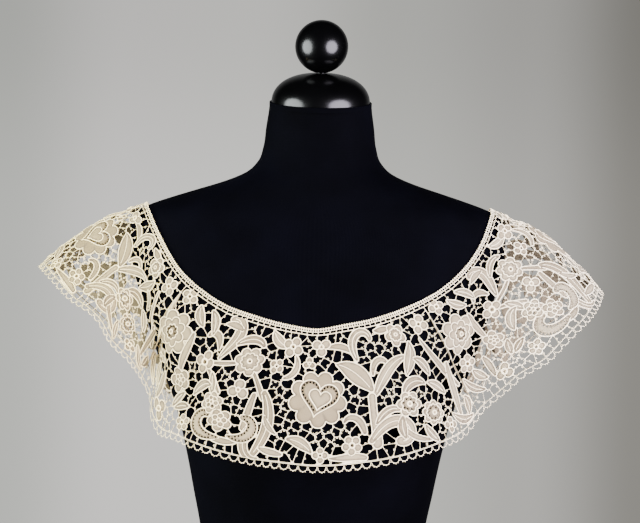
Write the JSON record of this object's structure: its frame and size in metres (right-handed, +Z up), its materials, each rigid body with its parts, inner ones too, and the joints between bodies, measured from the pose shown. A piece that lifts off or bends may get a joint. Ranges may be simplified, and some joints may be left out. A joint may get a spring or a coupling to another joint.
{
  "type": "bertha collar on a limbless dress form",
  "caption": "Cream needle-lace bertha collar worn on a black limbless dress form with a neck cap and ball finial.",
  "frame": {"origin": "centre of the flat base of the dress form, on the floor", "axes": "+Z up, +X to the viewer's right, -Y towards the viewer at the garment's front"},
  "size_m": [0.5691, 0.2647, 0.7018],
  "materials": {
    "navy_jersey": "matt knitted cover, almost black",
    "black_lacquer": "polished black lacquer",
    "cream_cotton": "needle lace of fine matt cotton thread",
    "cotton_braid": "corded cotton edge"
  },
  "bodies": {
    "root": {"form_torso": "navy_jersey", "neck_cap": "black_lacquer", "ball_finial": "black_lacquer", "neck_band": "cotton_braid", "lace_front": "cream_cotton", "lace_shoulder_right": "cream_cotton", "lace_back": "cream_cotton", "lace_shoulder_left": "cream_cotton", "hem_front": "cotton_braid", "hem_shoulder_right": "cotton_braid", "hem_back": "cotton_braid", "hem_shoulder_left": "cotton_braid"}
  },
  "joints": []
}
